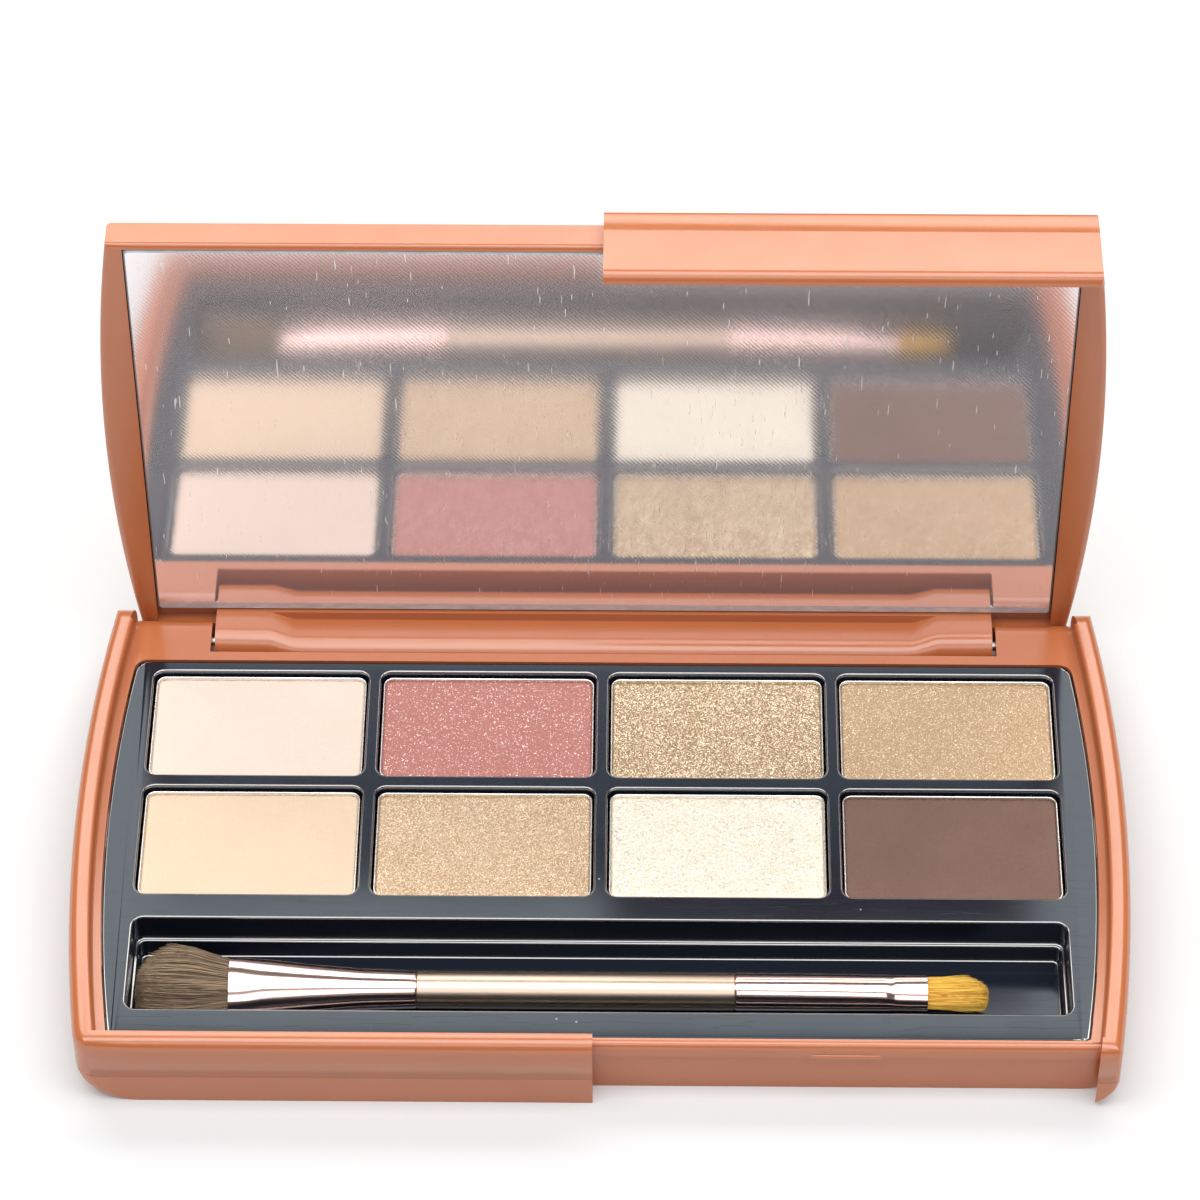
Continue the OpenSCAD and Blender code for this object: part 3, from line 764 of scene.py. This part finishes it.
def powder_cake(i, rough_z, crown):
    """A pressed cake: a fine grid that sags at its rim and carries the grain of the press."""
    lo, hi = node_box(f"powder_{i}")
    cx, cy, w, d = footprint(f"powder_{i}")
    nx, ny, r = 132, 80, PAN_R - PAN_WALL
    sag, sag_reach = 0.10, 0.22
    verts, faces = [], []

    def edge_limit(v):
        """Half the cake's width at v, less where its corners are round."""
        over = max(0.0, abs(v) - (d / 2 - r))
        return w / 2 - r + math.sqrt(max(r * r - over * over, 0.0))

    for b in range(ny + 1):
        v = -d / 2 + d * b / ny
        limit = edge_limit(v)
        for a in range(nx + 1):
            u = limit * (2 * a / nx - 1)
            rim = min(limit - abs(u), d / 2 - abs(v))
            sink = sag * math.exp(-rim / sag_reach)
            here = Vector((cx + u, cy + v, i * 7.0))    # every cake has its own patch of noise
            grain = noise.fractal(here * 2.6, 0.7, 2.1, 4) * rough_z
            press = noise.noise(here * 0.35) * crown
            verts.append((cx + u, cy + v, hi.z - 0.03 - sink + grain + press))
    row = nx + 1
    for b in range(ny):
        for a in range(nx):
            k = b * row + a
            faces.append((k, k + 1, k + row + 1, k + row))
    border = list(range(row)) + [b * row + nx for b in range(1, ny + 1)]
    border += [ny * row + a for a in range(nx - 1, -1, -1)] + [b * row for b in range(ny - 1, 0, -1)]
    start = len(verts)
    verts += [(verts[k][0], verts[k][1], lo.z + 0.05) for k in border]
    m = len(border)
    for k in range(m):
        j = (k + 1) % m
        faces.append((border[j], border[k], start + k, start + j))
    faces.append(tuple(start + k for k in range(m)))
    cake = new_object(f"pressed_powder_{i}", verts, faces)
    cake.data.shade_smooth()
    finish(cake, f"pressed_powder_{i}", "base", POWDER_SLOTS[i - 1], [f"powder_{i}"])


# ---------------------------------------------------------------- lid
def lid_cover():
    """The lid's outer shell, which reaches further forward over the lid's fascia on the right."""
    rows = [(PARTING, PARTING, 0, LID_SPLIT_Z), (0, 0, 0, LID_SPLIT_Z + PARTING)]
    rows += [(s, s * 0.6, s * 0.6, LID_TOP_Z - LID_EDGE_R + h) for s, h in quarter(LID_EDGE_R, LID_EDGE_R)]
    cover = bowed("lid_cover_shell", LID_HALF, LID_BOW, LID_FASCIA_Y, BACK, rows)
    left = block(-FAR, LID_FASCIA_X, -FAR, LID_FRONT, 0, FAR)
    cavity = bowed("cutter", LID_HALF - LID_WALL, LID_BOW - LID_WALL, LID_FRONT + LID_WALL, BACK - LID_WALL,
                   [(0, 0, 0, 0), (0, 0, 0, LID_TOP_Z - LID_WALL)])
    carve(cover, [left, cavity])
    open_lid(cover)
    soften(cover, 0.2)
    finish(cover, "lid_cover_shell", "lid", "terracotta_plastic", ["lid_cover"])


def lug_ring(x, front_y):
    """The lug across its axis: round below, square above, squeezed back to front_y."""
    squeeze = (HINGE_Y + LUG_R - front_y) / (2 * LUG_R)
    top = LID_SPLIT_Z - PARTING / 2
    points = [(HINGE_Y - LUG_R, top)]
    points += [(HINGE_Y - LUG_R * math.cos(a), HINGE_Z - LUG_R * math.sin(a))
               for a in (math.pi * k / 24 for k in range(25))]
    points += [(HINGE_Y + LUG_R, top)]
    return [(x, HINGE_Y + LUG_R - (HINGE_Y + LUG_R - y) * squeeze, z) for y, z in points]


def hinge_lug():
    """The long bar that hangs from the lid into the hinge recess: full at its ends, slimmer between."""
    mid = LUG_HALF - KNUCKLE_W
    full = HINGE_Y - LUG_R
    stations = [(-LUG_HALF, full), (-mid, full), (-mid + KNUCKLE_TAPER, LUG_MID_Y)]
    stations += [(-x, y) for x, y in reversed(stations)]
    return loft("hinge_lug", [lug_ring(x, y) for x, y in stations])


def lid_frame():
    """The lid's inner frame around the mirror, with the hanging fascia on the right and the hinge lug."""
    side_top = LID_SPLIT_Z - PARTING
    rim = [(s, s, s * 0.3, side_top - h) for s, h in reversed(quarter(LID_RIM_R, side_top - LID_RIM_Z))]
    rows = rim + [(0, 0, 0, side_top), (PARTING, PARTING, 0, LID_SPLIT_Z)]
    body = bowed("lid_frame_shell", LID_HALF, LID_BOW, LID_FRONT, BACK, rows)
    core = bowed("cutter", LID_HALF - CORE_INSET, LID_BOW - CORE_INSET,
                 LID_FRONT + CORE_INSET, BACK - CORE_INSET,
                 [(0, 0, 0, LID_SPLIT_Z - 0.2), (0, 0, 0, LID_TOP_Z - 1.3)])
    skirt = bowed("cutter", LID_HALF, LID_BOW, LID_FASCIA_Y, LID_FRONT + LID_WALL,
                  [(0.35, 0, 0, LID_FASCIA_Z), (0, 0, 0, LID_FASCIA_Z + 0.5), (0, 0, 0, LID_SPLIT_Z)])
    carve(skirt, [block(-FAR, LID_FASCIA_X, -FAR, FAR, 0, FAR),
                  block(-FAR, FAR, LID_FASCIA_Y + LID_FASCIA_T, FAR, 0, LID_RIM_Z),
                  waste(LID_FASCIA_Y + SKIRT_R, LID_FASCIA_Z + SKIRT_R, SKIRT_R, -1, -1)])
    carve(body, [core, skirt, hinge_lug()], "UNION")
    pocket_top = MIRROR_Z + MIRROR_T + 0.12
    pocket_half = MIRROR_HALF + MIRROR_GAP
    pocket = block(-pocket_half, pocket_half, MIRROR_FRONT - MIRROR_GAP, MIRROR_BACK - 0.2, 0, pocket_top)
    side_strip = block(-pocket_half, pocket_half, MIRROR_BACK - 1, POCKET_BACK, LID_RIM_Z - 1, pocket_top)
    carve(side_strip, [block(-LUG_HALF, LUG_HALF, MIRROR_BACK + 0.05, FAR, 0, FAR)])
    carve(body, [pocket, side_strip])
    divide(body, SPLITS_X)
    open_lid(body)
    soften(body, 0.15)
    finish(body, "lid_frame_shell", "lid", "terracotta_plastic", ["lid_frame"])


def mirror():
    """A glass plate with ground edges; its face is the silvered, film-covered mirror."""
    back_z = MIRROR_Z + MIRROR_T
    rows = [(MIRROR_GRIND, MIRROR_Z), (0, MIRROR_Z + MIRROR_GRIND),
            (0, back_z - MIRROR_GRIND), (MIRROR_GRIND, back_z)]
    mid_y, depth = (MIRROR_FRONT + MIRROR_BACK) / 2, MIRROR_BACK - MIRROR_FRONT
    rings = [round_rect(0, mid_y, 2 * (MIRROR_HALF - s), depth - 2 * s, 0.4, z, 4) for s, z in rows]
    plate = loft("mirror_plate", rings)
    plate.data.materials.append(MATERIALS["mirror_glass"])
    plate.data.materials.append(MATERIALS["mirror_edge"])
    for face in plate.data.polygons:
        face.material_index = 0 if abs(face.normal.z) > 0.9 else 1
    middle = Vector((0, mid_y, MIRROR_Z)) * MM
    plate.data.transform(Matrix.Translation(middle) @ Matrix.Rotation(MIRROR_TILT, 4, "X")
                         @ Matrix.Translation(-middle))
    open_lid(plate)
    finish(plate, "mirror_plate", "lid", "mirror_glass", ["mirror"])


# ---------------------------------------------------------------- brush
def on_brush(points):
    """Rolls points that were drawn around the brush's axis and lays them in the well."""
    c, s = math.cos(BRUSH_ROLL), math.sin(BRUSH_ROLL)
    return [(x, BRUSH_Y + y * c - z * s, BRUSH_Z + y * s + z * c) for x, y, z in points]


def section(x, w, t, square=2.0, steps=48):
    """A rounded section across the brush: an oval at 2, squarer above."""
    ring = []
    for k in range(steps):
        a = 2 * math.pi * k / steps
        c, s = math.cos(a), math.sin(a)
        ring.append((x, math.copysign(abs(c) ** (2 / square), c) * w / 2,
                     math.copysign(abs(s) ** (2 / square), s) * t / 2))
    return on_brush(ring)


def between(stations, x):
    """Values at x on straight runs between the stations, which are sorted by x."""
    for a, b in zip(stations, stations[1:]):
        if a[0] <= x <= b[0]:
            t = (x - a[0]) / (b[0] - a[0])
            return [p + (q - p) * t for p, q in zip(a[1:], b[1:])]
    end = stations[0] if x < stations[0][0] else stations[-1]
    return list(end[1:])


def handle():
    """The handle, with a tenon at each end inside its ferrule; each row is (x, radius)."""
    lo, hi = node_box("ferrule_large")[1].x, node_box("ferrule_small")[0].x
    rows = [(lo - 7.5, 1.7), (lo - 0.1, TENON_R), (lo + 0.02, HANDLE_R - 0.1), (lo + 0.12, HANDLE_R)]
    rows += [(hi - 0.12, HANDLE_R), (hi - 0.02, HANDLE_R - 0.1), (hi + 0.1, TENON_R), (hi + 5, 1.6)]
    tube = loft("brush_tube", [section(x, 2 * r, 2 * r) for x, r in rows])
    smooth(tube, 40)
    finish(tube, "brush_tube", "brush", "handle_champagne", ["brush_handle"])


def ferrule(name, node, stations, inner_from):
    """A drawn metal tube, oval and crimped at the hair end; stations run away from the handle."""
    steps = []
    for a, b in zip(stations, stations[1:]):
        count = max(1, int(abs(b[0] - a[0]) / 0.5))
        steps += [[p + (q - p) * k / count for p, q in zip(a, b)] for k in range(count)]
    steps.append(list(stations[-1]))
    rings = [section(*row) for row in steps]
    x, w, t, square = stations[-1]
    rings.append(section(x, w - 0.2, t - 0.2, square))
    rings.append(section(inner_from, w - 0.5, t - 0.5, square))
    tube = loft(name, rings)
    smooth(tube, 32)
    finish(tube, name, "brush", "ferrule_rose", [node])


def ferrules():
    """Both ferrules; each station is (x, width, thickness, squareness)."""
    mouth, lip = 4.42, 4.56
    lo, hi = node_box("ferrule_large")
    end, crimp = lo.x, lo.x + 3.0
    ferrule("ferrule_tube_large", "ferrule_large",
            [(hi.x, mouth, mouth, 2.0), (hi.x - 0.15, lip, lip, 2.0), (-28, 5.0, 4.6, 2.0),
             (-34, 6.0, 4.8, 2.0), (crimp + 1.4, 7.0, 4.9, 2.0), (crimp + 0.2, 7.15, 4.7, 2.05),
             (crimp - 1.2, 7.3, 4.35, 2.15), (end, 7.5, 4.3, 2.2)], crimp)
    lo, hi = node_box("ferrule_small")
    end, crimp = hi.x, hi.x - 4.3
    ferrule("ferrule_tube_small", "ferrule_small",
            [(lo.x, mouth, mouth, 2.0), (lo.x + 0.15, lip, lip, 2.0), (26, 4.5, 4.2, 2.0),
             (crimp - 1.4, 4.35, 3.7, 2.0), (crimp - 0.2, 4.35, 3.5, 2.0), (crimp + 0.2, 4.2, 3.0, 2.1),
             (crimp + 0.6, 4.25, 2.9, 2.15), (end, 4.3, 2.8, 2.2)], crimp)


def strands(name, node, slot, count, stations, thickness, tip_shape, floor_z, limit_x):
    """A head of separate hairs. Stations are (x, width, depth of the head); tip_shape is how far
    a hair reaches for its place across the head."""
    steps, sides = 9, 3
    short_share, frizz, ripple = 0.06, 0.035, 0.04
    root, tip = stations[0][0], stations[-1][0]
    ordered = sorted(stations)
    verts, faces, tones = [], [], []
    for _ in range(count):
        angle, reach = random.uniform(0, 2 * math.pi), math.sqrt(random.random())
        u, v = reach * math.cos(angle), reach * math.sin(angle)
        length = tip_shape(u, v) * random.uniform(0.965, 1.0)
        if random.random() < short_share:
            length *= random.uniform(0.8, 0.95)
        tone = random.random()
        stray = (random.gauss(0, frizz), random.gauss(0, frizz))
        wave = random.uniform(0, 2 * math.pi)
        start = len(verts)
        for k in range(steps + 1):
            t = k / steps
            x = root + (tip - root) * length * t
            w, d = between(ordered, x)
            y = u * w / 2 + stray[0] * w * t * t + ripple * math.sin(wave + 5 * t)
            z = v * d / 2 + stray[1] * d * t * t + ripple * math.cos(wave + 4 * t)
            px, py, pz = on_brush([(x, y, z)])[0]
            pz = max(pz, floor_z + 0.06 + 0.25 * random.random() * (pz < floor_z))
            px = max(px, limit_x)
            r = thickness * (1 - 0.72 * t ** 2.2)
            for i in range(sides):
                a = 2 * math.pi * i / sides + angle
                verts.append((px, py + r * math.cos(a), pz + r * math.sin(a)))
                tones.append(min(1.0, max(0.0, 0.15 + 0.75 * tone * (0.55 + 0.45 * t))))
        for k in range(steps):
            for i in range(sides):
                j = (i + 1) % sides
                a, b = start + k * sides, start + (k + 1) * sides
                faces.append((a + i, a + j, b + j, b + i))
        faces.append(tuple(start + i for i in range(sides))[::-1])
        faces.append(tuple(start + steps * sides + i for i in range(sides)))
    mesh = bpy.data.meshes.new(name)
    mesh.from_pydata([tuple(c * MM for c in p) for p in verts], [], faces)
    tone_layer = mesh.attributes.new("strand", "FLOAT", "POINT")
    tone_layer.data.foreach_set("value", tones)
    mesh.shade_smooth()
    head = bpy.data.objects.new(name, mesh)
    SCENE.collection.objects.link(head)
    finish(head, name, "brush", slot, [node])


def large_tip(u, v):
    return 1.03 - 0.34 * max(0.0, u) ** 2.4 - 0.08 * max(0.0, -u) ** 4 - 0.05 * v * v


def small_tip(u, v):
    return 1.0 - 0.30 * max(0.0, u) ** 2.2 - 0.06 * max(0.0, -u) ** 3


def brush_hair():
    root, tip = node_box("ferrule_large")[0].x + HAIR_ROOT, node_box("bristles_large")[0].x
    strands("hair_head_large", "bristles_large", "hair_brown", 3400,
            [(root, 6.9, 3.4), (root - 1.2, 7.1, 3.7), (root - 5.5, 9.8, 5.2), (root - 8, 10.0, 5.2),
             (tip, 9.0, 4.9)],
            0.045, large_tip, WELL_FLOOR, -WELL_HALF + WELL_STEP + 0.12)
    root, tip = node_box("ferrule_small")[1].x - HAIR_ROOT, node_box("bristles_small")[1].x
    strands("hair_head_small", "bristles_small", "hair_golden", 2200,
            [(root, 3.6, 2.0), (root + 1.2, 3.8, 2.2), (root + 5, 4.0, 2.0), (tip, 3.8, 1.5)],
            0.035, small_tip, WELL_FLOOR, -FAR)


# ---------------------------------------------------------------- the CAD pieces that stay
def keep_cad():
    """The hinge pins and the adhesive pads are right as they are: they get a material and a fine bevel."""
    for name in ("hinge_pin_left", "hinge_pin_right", "pan_adhesive", "mirror_adhesive"):
        obj = frame["nodes"][name]
        slot = "pin_steel" if name.startswith("hinge") else "glue_pad"
        obj.data.materials.clear()
        obj.data.materials.append(MATERIALS[slot])
        edge = obj.modifiers.new("edge", "BEVEL")
        edge.width = 0.05 * MM
        edge.segments = 2
        edge.limit_method = "ANGLE"


def floor():
    """A plain pale floor, larger than the view."""
    sides = 64
    angles = [2 * math.pi * k / sides for k in range(sides)]
    ring = [(FLOOR_RADIUS * math.cos(a), FLOOR_RADIUS * math.sin(a), 0.0) for a in angles]
    ground = new_object("studio_floor", ring, [tuple(range(sides))])
    ground.data.materials.append(floor_white())


set_camera()
set_light()
floor()
base_cover()
base_frame()
catch_nub()
tray()
for index in range(1, 9):
    pan(index)
    powder_cake(index, *POWDER_RELIEF[index - 1])
lid_cover()
lid_frame()
mirror()
handle()
ferrules()
brush_hair()
keep_cad()
